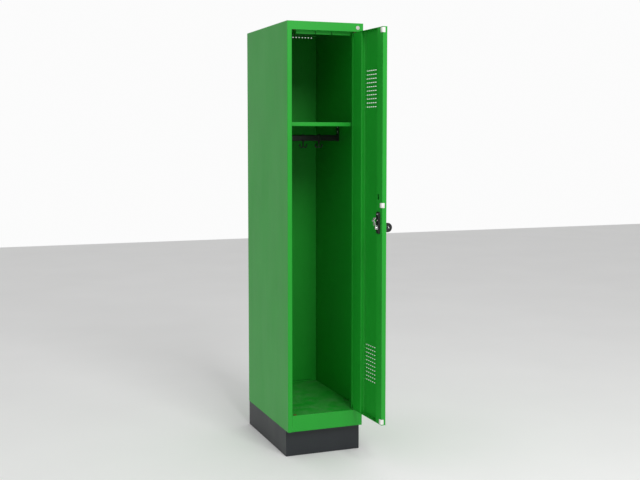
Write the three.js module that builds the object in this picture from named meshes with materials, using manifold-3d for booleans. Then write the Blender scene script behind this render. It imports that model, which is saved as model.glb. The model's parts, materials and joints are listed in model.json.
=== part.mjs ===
// A single-door steel school locker on a plinth, in millimetres, +Z up, front towards -Y.
// The door is drawn closed in its own frame, about its pivot axis, and then turned to where it rests.
// All Y places below are measured from the front face; the whole locker is moved at the end so that
// the origin lies on the floor, in the middle of the plinth's front bottom flange.
import * as THREE from "three";
import { mergeVertices } from "three/addons/utils/BufferGeometryUtils.js";
import Module from "manifold-3d";

const wasm = await Module();
wasm.setup();

// Driving dimensions
const WIDTH = 300;
const DEPTH = 500;
const HEIGHT = 1625;
const PLINTH_HEIGHT = 100;
const SHEET = 1;
const BEND_RADIUS = 2;
const BEND_STEPS = 3;
const GAP = 0.3;
const WALL_GAP = 0.5;
const ROUND_SIDES = 24;

// Front frame
const POST_WIDTH = 18;
const REBATE_DEPTH = 22;
const POST_RETURN = 10;
const TOP_STOP_HALF = 108;
const LIP_RETURN = 8;
const REAR_FLANGE = 15;
const TOP_RAIL_HEIGHT = 31;
const BOTTOM_RAIL_HEIGHT = 62;
const TOP_STOP_HEIGHT = 13;
const STOP_NOTCH_X = 33;
const STOP_NOTCH_WIDTH = 3.5;
const PANEL_FOLD = 15;
const BOTTOM_FLANGE = 28;
const WALL_FLANGE_FROM_FRONT = 40;
const WALL_FLANGE_FROM_REAR = 20;

// Vents and slots
const BACK_HOLE_COUNT = 20;
const BACK_HOLE_PITCH = 13.5;
const BACK_HOLE_RADIUS = 2.2;
const BACK_HOLE_BELOW_TOP = 8.5;
const BACK_SLOT_WIDTH = 248;
const BACK_SLOT_HEIGHT = 3;
const BACK_SLOT_ABOVE_FLOOR = 4;
const BACK_SETBACK = 4;
const HOOD_STANDOFF = 2.6;
const HOOD_MARGIN = 6;
const VENT_COLUMNS = 6;
const VENT_ROWS = 10;
const VENT_COLUMN_PITCH = 16.2;
const VENT_ROW_PITCH = 14.6;
const VENT_SLOT_WIDTH = 9.6;
const VENT_SLOT_HEIGHT = 3;
const VENT_GROUP_Z = [365, 1378];

// Hat shelf and coat rail
const SHELF_TOP = 1258;
const SHELF_FRONT = 31;
const SHELF_LIP = 15;
const RAIL_Y = 244;
const RAIL_Z = 1200;
const RAIL_HEIGHT = 24;
const RAIL_THICKNESS = 11;
const BRACKET_THICKNESS = 2;
const BRACKET_WIDTH = 26;
const BRACKET_FLANGE = 16;
const HOOK_SPACING = 66;
const HOOK_WIDTH = 9;
const HOOK_WALL = 2.2;
const HOOK_ARM_RADIUS = 2.4;
const HOOK_REACH = 14;
const HOOK_BOTTOM = 1160;

// Plinth
const PLINTH_SETBACK = 28;
const PLINTH_REAR = 497;
const PLINTH_INSET = 1;
const PLINTH_TOP_FLANGE = 25;
const PLINTH_BOTTOM_FLANGE = 30;
const BOLT_X = 136;
const BOLT_Y = [85, 430];
const BOLT_RADIUS = 3.9;
const BOLT_HOLE_RADIUS = 4.5;
const BOLT_HEAD_ACROSS = 13;
const BOLT_HEAD_HEIGHT = 5.3;
const NUT_HEIGHT = 6.5;

// Door
const PIVOT_X = 119.5;
const PIVOT_Y = 9.5;
const DOOR_REST_DEG = 92.5;
const DOOR_BOTTOM = 164.5;
const DOOR_TOP = 1590;
const DOOR_HINGE_EDGE = 9.3;
const DOOR_FREE_EDGE = -250;
const DOOR_FACE = -9;
const DOOR_THICKNESS = 17.5;
const DOOR_BEND_RADIUS = 3;
const DOOR_HEM = 12;
const LOCK_CHANNEL_WIDTH = 46;
const HINGE_CHANNEL_WIDTH = 84;
const CHANNEL_FOOT = 10;
const PIN_RADIUS = 3;
const PIN_COLLAR_RADIUS = 5;
const PIN_COLLAR_HEIGHT = 3;
const PIN_REACH = 9.5;
const PIN_TAIL = 10;
const BUSH_BORE = 3.25;
const BUSH_RADIUS = 4.7;
const BUSH_FLANGE_RADIUS = 6.5;
const BUSH_DEPTH = 5;
const PIVOT_HOLE_RADIUS = 5;
const BUFFER_HEIGHT = 18;
const BUFFER_WIDTH = 13;
const BUFFER_TONGUE = 9;
const BUFFER_TONGUE_THICKNESS = 0.6;
const BUFFER_PROUD = 3.6;
const BUFFER_STEM_RADIUS = 2.7;
const BUFFER_HOLE_RADIUS = 3;
const BUFFER_FROM_EDGE = 6.5;
const BUFFER_Z = [DOOR_BOTTOM + 12, 960, DOOR_TOP - 12];
const KEY_SLOT_Z = 989;
const KEY_SLOT_HEIGHT = 19;
const KEY_SLOT_WIDTH = 11;
const KEY_SLOT_FROM_EDGE = 33;

// Lock, measured from its turning axis
const LOCK_Z = 878.5;
const LOCK_FROM_EDGE = 28;
const CASE_BELOW = 21;
const CASE_ABOVE = 57;
const CASE_WIDTH = 26;
const CASE_DEPTH = 6;
const CASE_CORNER = 5;
const ROSETTE_RADIUS = 17;
const ROSETTE_HEIGHT = 4;
const LOCK_HOLE_RADIUS = 9.6;
const ROSETTE_NECK_RADIUS = 9.2;
const SPINDLE_RADIUS = 4.5;
const SPINDLE_HOLE_RADIUS = 6.4;
const SPINDLE_END = 1;
const KNOB_BASE_RADIUS = 17;
const KNOB_BASE_HEIGHT = 5;
const KNOB_GRIP_THICKNESS = 9;
const KNOB_GRIP_RADIUS = 17;
const KNOB_GRIP_REACH = 25;
const KNOB_EYE_WIDTH = 4.6;
const KNOB_EYE_LENGTH = 12;
const KNOB_EYE_FROM_TIP = 12;
const KNOB_EYE_LEAN_DEG = 35;
const CAM_WIDTH = 10;
const CAM_STANDOFF = 1;
const CAM_STEP = 9;
const CAM_SHOULDER = 10;
const CAM_BEND = 21;
const CAM_NOSE = 27;
const CAM_TIP = 35;
const CAM_THICKNESS = 2.4;
const CAM_BASE_RADIUS = 9;
const NUT_RADIUS = 7.2;
const CAM_NUT_HEIGHT = 4.5;

// Frame cap
const CAP_X = 127.8;
const CAP_Z = 1608;
const CAP_RADIUS = 7.5;
const CAP_PROUD = 1.4;
const CAP_STEM_RADIUS = 4.4;
const CAP_STEM_LENGTH = 6;
const CAP_HOLE_RADIUS = 4.8;

// Worked out from the driving dimensions
const HALF = WIDTH / 2;
const POST_EDGE = HALF - POST_WIDTH;
const FLOOR_TOP = PLINTH_HEIGHT + BOTTOM_RAIL_HEIGHT;
const RAIL_UNDERSIDE = HEIGHT - TOP_RAIL_HEIGHT;
const INNER_HALF = HALF - SHEET - WALL_GAP;
const BACK_FACE = DEPTH - SHEET - GAP - BACK_SETBACK;
const BACK_INSIDE = BACK_FACE - SHEET;
const PANEL_REAR = BACK_INSIDE - GAP;
const PLINTH_TOP = PLINTH_HEIGHT - GAP;
const ORIGIN_Y = PLINTH_SETBACK + PLINTH_BOTTOM_FLANGE / 2;
const DOOR_INSIDE = DOOR_FACE + DOOR_THICKNESS;
const LOCK_X = DOOR_FREE_EDGE + LOCK_FROM_EDGE;
const CASE_INSIDE = DOOR_INSIDE + GAP + CASE_DEPTH;
const CAM_BASE_Y = CASE_INSIDE + CAM_STANDOFF;
const BORE_RADIUS = SPINDLE_RADIUS + GAP;

const PAINT = { color: 0x2f9e37, roughness: 0.45, metalness: 0.0 };
const ANTHRACITE = { color: 0x33373b, roughness: 0.5, metalness: 0.0 };
const BLACK_PLASTIC = { color: 0x121212, roughness: 0.4, metalness: 0.0 };
const WHITE_PLASTIC = { color: 0xe6e6e4, roughness: 0.5, metalness: 0.0 };
const BROWN_PLASTIC = { color: 0x6b3a26, roughness: 0.5, metalness: 0.0 };
const ZINC = { color: 0xb9bcc0, roughness: 0.3, metalness: 1.0 };

const locker = new THREE.Group();
locker.position.y = -ORIGIN_Y;
const door = new THREE.Group();
door.position.set(PIVOT_X, PIVOT_Y, 0);
door.rotation.z = THREE.MathUtils.degToRad(DOOR_REST_DEG);
locker.add(door);

// Directions of the shape's two axes and of its depth, for a section pushed along X, Y or Z.
const SECTION_AXES = {
  x: [[0, 1, 0], [0, 0, 1], [1, 0, 0]],
  y: [[1, 0, 0], [0, 0, 1], [0, -1, 0]],
  z: [[1, 0, 0], [0, 1, 0], [0, 0, 1]],
};

function mesh(group, name, geometry, look) {
  const made = new THREE.Mesh(geometry, new THREE.MeshStandardMaterial(look));
  made.name = name;
  group.add(made);
  return made;
}

function solid(geometry) {
  const bare = new THREE.BufferGeometry();
  bare.setAttribute("position", geometry.getAttribute("position"));
  if (geometry.index) bare.setIndex(geometry.index);
  const merged = mergeVertices(bare, 1e-4);
  return new wasm.Manifold(
    new wasm.Mesh({
      numProp: 3,
      vertProperties: merged.attributes.position.array,
      triVerts: new Uint32Array(merged.index.array),
    }),
  );
}

function geometryOf(made) {
  const { vertProperties, triVerts } = made.getMesh();
  const geometry = new THREE.BufferGeometry();
  geometry.setAttribute("position", new THREE.BufferAttribute(vertProperties, 3));
  geometry.setIndex(new THREE.BufferAttribute(triVerts, 1));
  return geometry;
}

// Joins the first geometries and cuts the second ones from the result.
function build(added, removed = []) {
  let made = solid(added[0]);
  for (const piece of added.slice(1)) made = made.add(solid(piece));
  for (const piece of removed) made = made.subtract(solid(piece));
  return geometryOf(made);
}

function box([x0, x1], [y0, y1], [z0, z1]) {
  const geometry = new THREE.BoxGeometry(x1 - x0, y1 - y0, z1 - z0);
  return geometry.translate((x0 + x1) / 2, (y0 + y1) / 2, (z0 + z1) / 2);
}

function rod(axis, radius, from, to, [a, b], sides = ROUND_SIDES) {
  const geometry = new THREE.CylinderGeometry(radius, radius, to - from, sides);
  const middle = (from + to) / 2;
  if (axis === "x") return geometry.rotateZ(-Math.PI / 2).translate(middle, a, b);
  if (axis === "y") return geometry.translate(a, middle, b);
  return geometry.rotateX(Math.PI / 2).translate(a, b, middle);
}

// A shape pushed from one place to another along an axis. Its own axes are Y and Z along X,
// X and Z along Y, and X and Y along Z.
function push(shape, axis, from, to, curveSegments = 3) {
  const depth = to - from;
  const geometry = new THREE.ExtrudeGeometry(shape, { depth, bevelEnabled: false, curveSegments });
  const [a, b, c] = SECTION_AXES[axis].map((v) => new THREE.Vector3(...v));
  geometry.applyMatrix4(new THREE.Matrix4().makeBasis(a, b, c));
  const start = axis === "y" ? to : from;
  return geometry.translate(...["x", "y", "z"].map((name) => (name === axis ? start : 0)));
}

// The cross-section of a folded sheet: a path along one face, with round bends, and the sheet's
// thickness on its left (side = 1) or right (side = -1).
function fold(points, { side = 1, thickness = SHEET, radius = BEND_RADIUS } = {}) {
  const path = points.map(([a, b]) => new THREE.Vector2(a, b));
  const face = [];
  const back = [];
  const put = (point, direction) => {
    const across = new THREE.Vector2(-direction.y, direction.x).multiplyScalar(side * thickness);
    face.push(point.clone());
    back.unshift(point.clone().add(across));
  };
  const heading = (i) => path[i + 1].clone().sub(path[i]).normalize();
  put(path[0], heading(0));
  for (let i = 1; i < path.length - 1; i += 1) {
    const before = heading(i - 1);
    const after = heading(i);
    const turn = Math.atan2(before.cross(after), before.dot(after));
    const reach = radius * Math.tan(Math.abs(turn) / 2);
    const start = path[i].clone().addScaledVector(before, -reach);
    const toCentre = new THREE.Vector2(-before.y, before.x).multiplyScalar(Math.sign(turn) * radius);
    const centre = start.clone().add(toCentre);
    for (let step = 0; step <= BEND_STEPS; step += 1) {
      const angle = (turn * step) / BEND_STEPS;
      const origin = new THREE.Vector2(0, 0);
      const point = toCentre.clone().negate().rotateAround(origin, angle).add(centre);
      put(point, before.clone().rotateAround(origin, angle));
    }
  }
  put(path[path.length - 1], heading(path.length - 2));
  return new THREE.Shape([...face, ...back]);
}

function roundedRectangle(a0, a1, b0, b1, radius) {
  const shape = new THREE.Shape();
  shape.moveTo(a0 + radius, b0);
  shape.lineTo(a1 - radius, b0);
  shape.absarc(a1 - radius, b0 + radius, radius, -Math.PI / 2, 0);
  shape.lineTo(a1, b1 - radius);
  shape.absarc(a1 - radius, b1 - radius, radius, 0, Math.PI / 2);
  shape.lineTo(a0 + radius, b1);
  shape.absarc(a0 + radius, b1 - radius, radius, Math.PI / 2, Math.PI);
  shape.lineTo(a0, b0 + radius);
  shape.absarc(a0 + radius, b0 + radius, radius, Math.PI, Math.PI * 1.5);
  return shape;
}

// Cabinet: each side wall is one sheet, folded into the front post and a rear flange.
function sidePanel(name, sign) {
  const at = (x) => sign * x;
  const span = (x0, x1) => [Math.min(at(x0), at(x1)), Math.max(at(x0), at(x1))];
  const path = [
    [at(HALF - REAR_FLANGE), DEPTH],
    [at(HALF), DEPTH],
    [at(HALF), 0],
    [at(POST_EDGE), 0],
    [at(POST_EDGE), REBATE_DEPTH],
    [at(POST_EDGE + POST_RETURN), REBATE_DEPTH],
  ];
  const wall = push(fold(path, { side: -sign }), "z", PLINTH_HEIGHT, HEIGHT);
  const flangeY = [WALL_FLANGE_FROM_FRONT, DEPTH - WALL_FLANGE_FROM_REAR];
  const flange = box(
    span(HALF - SHEET / 2, HALF - BOTTOM_FLANGE),
    flangeY,
    [PLINTH_HEIGHT, PLINTH_HEIGHT + SHEET],
  );
  const aboveRail = [RAIL_UNDERSIDE - GAP, HEIGHT + 1];
  const cuts = [
    box(span(INNER_HALF + GAP, POST_EDGE - 1), [-1, REBATE_DEPTH + 1], aboveRail),
    box(span(HALF + 1, POST_EDGE - 1), [-1, SHEET + GAP], aboveRail),
  ];
  for (const y of BOLT_Y) {
    const reach = [PLINTH_HEIGHT - 1, PLINTH_HEIGHT + SHEET + 1];
    cuts.push(rod("z", BOLT_HOLE_RADIUS, ...reach, [at(BOLT_X), y]));
  }
  mesh(locker, name, build([wall, flange], cuts), PAINT);
}

function pivotHoles(from, to) {
  return [-PIVOT_X, PIVOT_X].map((x) => rod("z", PIVOT_HOLE_RADIUS, from, to, [x, PIVOT_Y]));
}

// A flat panel's folded edges against both side walls, notched clear of its rear fold.
function sideFolds(y0, z0, z1) {
  const y = [y0, PANEL_REAR - 2 * SHEET];
  return [
    box([-INNER_HALF, -INNER_HALF + SHEET], y, [z0, z1]),
    box([INNER_HALF - SHEET, INNER_HALF], y, [z0, z1]),
  ];
}

// The roof is one sheet with the top rail, the upper door stop and folded edges.
function roofPanel() {
  const path = [
    [PANEL_REAR, HEIGHT - PANEL_FOLD],
    [PANEL_REAR, HEIGHT],
    [0, HEIGHT],
    [0, RAIL_UNDERSIDE],
    [REBATE_DEPTH, RAIL_UNDERSIDE],
    [REBATE_DEPTH, RAIL_UNDERSIDE - TOP_STOP_HEIGHT],
    [REBATE_DEPTH + LIP_RETURN, RAIL_UNDERSIDE - TOP_STOP_HEIGHT],
  ];
  const railEnd = POST_EDGE - GAP;
  const plateY = [SHEET / 2, PANEL_REAR];
  const foldY = REBATE_DEPTH + LIP_RETURN + 5;
  const stopZ = [RAIL_UNDERSIDE - TOP_STOP_HEIGHT - 1, RAIL_UNDERSIDE];
  const stopY = [REBATE_DEPTH - GAP, REBATE_DEPTH + LIP_RETURN + 1];
  const cuts = pivotHoles(RAIL_UNDERSIDE - 1, RAIL_UNDERSIDE + SHEET + 1);
  cuts.push(rod("y", CAP_HOLE_RADIUS, -1, SHEET + 1, [CAP_X, CAP_Z]));
  cuts.push(...airHoles(PANEL_REAR - SHEET - 1, PANEL_REAR + 1));
  for (const sign of [-1, 1]) {
    const ends = [sign * TOP_STOP_HALF, sign * (POST_EDGE + 1)].sort((a, b) => a - b);
    cuts.push(box(ends, stopY, stopZ));
    const notch = [-1, 1].map((k) => sign * STOP_NOTCH_X + (k * STOP_NOTCH_WIDTH) / 2);
    cuts.push(box(notch, stopY, stopZ));
  }
  const added = [
    push(fold(path), "x", -railEnd, railEnd),
    box([-HALF, HALF], [0, SHEET], [RAIL_UNDERSIDE, HEIGHT]),
    box([-INNER_HALF, INNER_HALF], plateY, [HEIGHT - SHEET, HEIGHT]),
    ...sideFolds(foldY, HEIGHT - PANEL_FOLD, HEIGHT - SHEET / 2),
  ];
  mesh(locker, "roof_panel", build(added, cuts), PAINT);
}

// The floor is one sheet with the bottom rail.
function floorPanel() {
  const path = [
    [REBATE_DEPTH, PLINTH_HEIGHT],
    [0, PLINTH_HEIGHT],
    [0, FLOOR_TOP],
    [PANEL_REAR, FLOOR_TOP],
    [PANEL_REAR, FLOOR_TOP - PANEL_FOLD],
  ];
  const railEnd = POST_EDGE - GAP;
  const plateFront = REBATE_DEPTH + SHEET + 1;
  const added = [
    push(fold(path, { side: -1 }), "x", -railEnd, railEnd),
    box([-INNER_HALF, INNER_HALF], [plateFront, PANEL_REAR], [FLOOR_TOP - SHEET, FLOOR_TOP]),
    ...sideFolds(plateFront + 2, FLOOR_TOP - PANEL_FOLD, FLOOR_TOP - SHEET / 2),
  ];
  const cuts = pivotHoles(FLOOR_TOP - SHEET - 1, FLOOR_TOP + 1);
  mesh(locker, "floor_panel", build(added, cuts), PAINT);
}

// The row of air holes near the top, through the roof's rear fold and the back alike.
function airHoles(from, to) {
  const holes = [];
  for (let i = 0; i < BACK_HOLE_COUNT; i += 1) {
    const x = (i - (BACK_HOLE_COUNT - 1) / 2) * BACK_HOLE_PITCH;
    holes.push(rod("y", BACK_HOLE_RADIUS, from, to, [x, HEIGHT - BACK_HOLE_BELOW_TOP], 12));
  }
  return holes;
}

// The back has a slot near its foot, under a hood that is open below.
function backPanel() {
  const z = [PLINTH_HEIGHT + 1.5, HEIGHT - SHEET - WALL_GAP];
  const slotZ = FLOOR_TOP + BACK_SLOT_ABOVE_FLOOR;
  const through = [BACK_INSIDE - 1, BACK_FACE + 1];
  const half = BACK_SLOT_WIDTH / 2;
  const slot = box([-half, half], through, [slotZ, slotZ + BACK_SLOT_HEIGHT]);
  const plate = box([-INNER_HALF, INNER_HALF], [BACK_INSIDE, BACK_FACE], z);
  const hoodRear = BACK_FACE + HOOD_STANDOFF + SHEET;
  const hoodX = [-half - HOOD_MARGIN, half + HOOD_MARGIN];
  const hood = box(hoodX, [BACK_FACE - SHEET / 2, hoodRear], [slotZ - HOOD_MARGIN, slotZ + HOOD_MARGIN]);
  const room = box(
    [hoodX[0] + SHEET, hoodX[1] - SHEET],
    [BACK_FACE, hoodRear - SHEET],
    [slotZ - HOOD_MARGIN - 1, slotZ + HOOD_MARGIN - SHEET],
  );
  const cuts = [slot, room, ...airHoles(...through)];
  mesh(locker, "back_panel", build([plate, hood], cuts), PAINT);
}

function hatShelf() {
  const path = [
    [SHELF_FRONT + LIP_RETURN, SHELF_TOP - SHELF_LIP],
    [SHELF_FRONT, SHELF_TOP - SHELF_LIP],
    [SHELF_FRONT, SHELF_TOP],
    [PANEL_REAR, SHELF_TOP],
    [PANEL_REAR, SHELF_TOP - SHELF_LIP],
  ];
  const foldY = SHELF_FRONT + LIP_RETURN + 5;
  const folds = sideFolds(foldY, SHELF_TOP - SHELF_LIP, SHELF_TOP - SHEET / 2);
  const sheet = push(fold(path, { side: -1 }), "x", -INNER_HALF, INNER_HALF);
  mesh(locker, "hat_shelf", build([sheet, ...folds]), PAINT);
}

// Coat rail: a flat bar under the shelf, held by an angle bracket at each end.
function coatRail() {
  const half = INNER_HALF - SHEET - BRACKET_THICKNESS - 3 * GAP;
  const section = roundedRectangle(
    RAIL_Y - RAIL_THICKNESS / 2,
    RAIL_Y + RAIL_THICKNESS / 2,
    RAIL_Z - RAIL_HEIGHT / 2,
    RAIL_Z + RAIL_HEIGHT / 2,
    4,
  );
  mesh(locker, "coat_rail", push(section, "x", -half, half), BLACK_PLASTIC);
}

function railBracket(name, sign) {
  const outer = sign * (INNER_HALF - SHEET - GAP);
  const top = SHELF_TOP - SHEET - GAP;
  const path = [
    [outer, RAIL_Z - RAIL_HEIGHT / 2 - 2],
    [outer, top],
    [outer - sign * BRACKET_FLANGE, top],
  ];
  const section = fold(path, { side: sign, thickness: BRACKET_THICKNESS, radius: 3 });
  const angle = push(section, "y", RAIL_Y - BRACKET_WIDTH / 2, RAIL_Y + BRACKET_WIDTH / 2);
  mesh(locker, name, angle, BLACK_PLASTIC);
}

// A sliding hook: a collar round the rail with a double prong below it.
function coatHook(name, x) {
  const outer = roundedRectangle(
    RAIL_Y - RAIL_THICKNESS / 2 - GAP - HOOK_WALL,
    RAIL_Y + RAIL_THICKNESS / 2 + GAP + HOOK_WALL,
    RAIL_Z - RAIL_HEIGHT / 2 - GAP - HOOK_WALL,
    RAIL_Z + RAIL_HEIGHT / 2 + GAP + HOOK_WALL,
    5,
  );
  const hole = roundedRectangle(
    RAIL_Y - RAIL_THICKNESS / 2 - GAP,
    RAIL_Y + RAIL_THICKNESS / 2 + GAP,
    RAIL_Z - RAIL_HEIGHT / 2 - GAP,
    RAIL_Z + RAIL_HEIGHT / 2 + GAP,
    4,
  );
  outer.holes.push(hole);
  const collar = push(outer, "x", x - HOOK_WIDTH / 2, x + HOOK_WIDTH / 2);
  const collarBottom = RAIL_Z - RAIL_HEIGHT / 2 - GAP - HOOK_WALL;
  const bend = HOOK_BOTTOM + HOOK_ARM_RADIUS + HOOK_REACH / 2;
  const stemBottom = HOOK_BOTTOM + HOOK_ARM_RADIUS;
  const stem = rod("z", HOOK_ARM_RADIUS, stemBottom, collarBottom + 1, [x, RAIL_Y], 8);
  const arms = [-1, 1].map((sign) => {
    const centre = new THREE.Vector3(x + (sign * HOOK_REACH) / 2, RAIL_Y, bend);
    const points = [];
    for (let step = 0; step <= 8; step += 1) {
      const angle = (Math.PI * step) / 8;
      const across = -sign * Math.cos(angle) * (HOOK_REACH / 2);
      const down = -Math.sin(angle) * (HOOK_REACH / 2);
      points.push(new THREE.Vector3(centre.x + across, centre.y, centre.z + down));
    }
    points.push(new THREE.Vector3(centre.x + (sign * HOOK_REACH) / 2, RAIL_Y, bend + 5));
    return tube(points, HOOK_ARM_RADIUS);
  });
  mesh(locker, name, build([collar, stem, ...arms]), BLACK_PLASTIC);
}

function tube(points, radius) {
  const curve = new THREE.CatmullRomCurve3(points);
  const circle = new THREE.Shape().absarc(0, 0, radius, 0, Math.PI * 2);
  return new THREE.ExtrudeGeometry(circle, { steps: 10, curveSegments: 4, extrudePath: curve });
}

// Plinth: four folded channels that meet at the corners.
function plinthEnd(name, face, sign) {
  const path = [
    [face + sign * PLINTH_TOP_FLANGE, PLINTH_TOP],
    [face, PLINTH_TOP],
    [face, 0],
    [face + sign * PLINTH_BOTTOM_FLANGE, 0],
  ];
  const half = HALF - PLINTH_INSET;
  const channel = push(fold(path, { side: sign }), "x", -half + SHEET + GAP, half - SHEET - GAP);
  const wallY = [face, face + sign * SHEET].sort((a, b) => a - b);
  const wall = box([-half, half], wallY, [BEND_RADIUS, PLINTH_TOP - BEND_RADIUS]);
  mesh(locker, name, build([channel, wall]), ANTHRACITE);
}

function plinthSide(name, sign) {
  const face = sign * (HALF - PLINTH_INSET);
  const path = [
    [face - sign * PLINTH_TOP_FLANGE, PLINTH_TOP],
    [face, PLINTH_TOP],
    [face, 0],
    [face - sign * PLINTH_BOTTOM_FLANGE, 0],
  ];
  const front = PLINTH_SETBACK + SHEET + GAP;
  const rear = PLINTH_REAR - SHEET - GAP;
  const channel = push(fold(path, { side: -sign }), "y", front, rear);
  const inner = [face - sign * (SHEET + GAP), face - sign * 60].sort((a, b) => a - b);
  const cuts = [
    box(inner, [front - 1, PLINTH_SETBACK + PLINTH_BOTTOM_FLANGE + GAP], [-1, PLINTH_TOP + 1]),
    box(inner, [PLINTH_REAR - PLINTH_BOTTOM_FLANGE - GAP, rear + 1], [-1, PLINTH_TOP + 1]),
  ];
  for (const y of BOLT_Y) {
    const reach = [PLINTH_TOP - SHEET - 1, PLINTH_TOP + 1];
    cuts.push(rod("z", BOLT_HOLE_RADIUS, ...reach, [sign * BOLT_X, y]));
  }
  mesh(locker, name, build([channel], cuts), ANTHRACITE);
}

// A bolt up through the plinth's and the body's flanges, with its nut above.
function plinthBolt(index, x, y) {
  const headTop = PLINTH_TOP - SHEET - GAP;
  const nutBottom = PLINTH_HEIGHT + SHEET + GAP;
  const head = rod("z", BOLT_HEAD_ACROSS / 2, headTop - BOLT_HEAD_HEIGHT, headTop, [x, y], 6);
  const shank = rod("z", BOLT_RADIUS, headTop - 1, nutBottom + NUT_HEIGHT + 2, [x, y]);
  mesh(locker, `plinth_bolt_${index}`, build([head, shank]), ZINC);
  const body = rod("z", BOLT_HEAD_ACROSS / 2, nutBottom, nutBottom + NUT_HEIGHT, [x, y], 6);
  const bore = rod("z", BOLT_RADIUS + GAP, nutBottom - 1, nutBottom + NUT_HEIGHT + 1, [x, y]);
  mesh(locker, `plinth_nut_${index}`, build([body], [bore]), ZINC);
}

// Pivot bushes: the flange fills the room between the door's edge and the frame's rail, and the
// collar sits in the rail's hole.
function pivotBush(name, doorEdge, rail, sign) {
  const sorted = (a, b) => [Math.min(a, b), Math.max(a, b)];
  const centre = [PIVOT_X, PIVOT_Y];
  const inner = doorEdge + sign * WALL_GAP;
  const seat = rail - sign * GAP;
  const end = rail + sign * BUSH_DEPTH;
  const flange = rod("z", BUSH_FLANGE_RADIUS, ...sorted(inner, seat), centre);
  const collar = rod("z", BUSH_RADIUS, ...sorted(inner + sign * SHEET, end), centre);
  const bore = rod("z", BUSH_BORE, ...sorted(inner - sign, end + sign), centre);
  mesh(locker, name, build([flange, collar], [bore]), BROWN_PLASTIC);
}

function frameCap() {
  const centre = [CAP_X, CAP_Z];
  const disc = rod("y", CAP_RADIUS, -GAP - CAP_PROUD, -GAP, centre);
  const stem = rod("y", CAP_STEM_RADIUS, -GAP - CAP_PROUD / 2, CAP_STEM_LENGTH, centre);
  mesh(locker, "frame_cap", build([disc, stem]), WHITE_PLASTIC);
}

// Door: one pan with edge flanges, drawn closed about the pivot axis.
function ventSlots() {
  const slots = [];
  const middle = (DOOR_HINGE_EDGE + DOOR_FREE_EDGE) / 2;
  for (const groupZ of VENT_GROUP_Z) {
    for (let column = 0; column < VENT_COLUMNS; column += 1) {
      const x = middle + (column - (VENT_COLUMNS - 1) / 2) * VENT_COLUMN_PITCH;
      for (let row = 0; row < VENT_ROWS; row += 1) {
        const z = groupZ + (row - (VENT_ROWS - 1) / 2) * VENT_ROW_PITCH;
        slots.push(
          box(
            [x - VENT_SLOT_WIDTH / 2, x + VENT_SLOT_WIDTH / 2],
            [DOOR_FACE - 1, DOOR_FACE + SHEET + 1],
            [z - VENT_SLOT_HEIGHT / 2, z + VENT_SLOT_HEIGHT / 2],
          ),
        );
      }
    }
  }
  return slots;
}

function doorPanel() {
  const path = [
    [DOOR_HINGE_EDGE - DOOR_HEM, DOOR_INSIDE],
    [DOOR_HINGE_EDGE, DOOR_INSIDE],
    [DOOR_HINGE_EDGE, DOOR_FACE],
    [DOOR_FREE_EDGE, DOOR_FACE],
    [DOOR_FREE_EDGE, DOOR_INSIDE],
  ];
  const pan = push(fold(path, { side: -1, radius: DOOR_BEND_RADIUS }), "z", DOOR_BOTTOM, DOOR_TOP);
  const flangeX = [DOOR_FREE_EDGE + SHEET / 2, DOOR_HINGE_EDGE - DOOR_BEND_RADIUS];
  const flangeY = [DOOR_FACE + SHEET / 2, DOOR_INSIDE];
  const edges = [
    box(flangeX, flangeY, [DOOR_BOTTOM, DOOR_BOTTOM + SHEET]),
    box(flangeX, flangeY, [DOOR_TOP - SHEET, DOOR_TOP]),
  ];
  const cuts = ventSlots();
  for (const z of [DOOR_BOTTOM, DOOR_TOP - SHEET]) {
    cuts.push(rod("z", PIN_RADIUS + GAP, z - 1, z + SHEET + 1, [0, 0]));
  }
  cuts.push(rod("y", LOCK_HOLE_RADIUS, DOOR_FACE - 1, DOOR_FACE + SHEET + 1, [LOCK_X, LOCK_Z]));
  mesh(door, "door_panel", build([pan, ...edges], cuts), PAINT);
}

// The free edge's channel carries the lock and the buffers.
function lockChannel() {
  const hinge = DOOR_FREE_EDGE + LOCK_CHANNEL_WIDTH;
  const skin = DOOR_FACE + SHEET + GAP;
  const free = DOOR_FREE_EDGE + SHEET + GAP;
  const path = [
    [hinge + CHANNEL_FOOT, skin + SHEET],
    [hinge, skin + SHEET],
    [hinge, DOOR_INSIDE],
    [free, DOOR_INSIDE],
    [free, skin + 4],
  ];
  const channel = push(fold(path), "z", DOOR_BOTTOM + SHEET + GAP, DOOR_TOP - SHEET - GAP);
  const through = [DOOR_INSIDE - SHEET - 1, DOOR_INSIDE + 1];
  const cuts = BUFFER_Z.map((height) =>
    rod("y", BUFFER_HOLE_RADIUS, ...through, [DOOR_FREE_EDGE + BUFFER_FROM_EDGE, height]),
  );
  const keyX = DOOR_FREE_EDGE + KEY_SLOT_FROM_EDGE;
  const keySlotX = [keyX - KEY_SLOT_WIDTH / 2, keyX + KEY_SLOT_WIDTH / 2];
  const keySlotZ = [KEY_SLOT_Z - KEY_SLOT_HEIGHT / 2, KEY_SLOT_Z + KEY_SLOT_HEIGHT / 2];
  cuts.push(
    box(keySlotX, through, keySlotZ),
    rod("y", SPINDLE_HOLE_RADIUS, ...through, [LOCK_X, LOCK_Z]),
  );
  mesh(door, "lock_channel", build([channel], cuts), PAINT);
}

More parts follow.
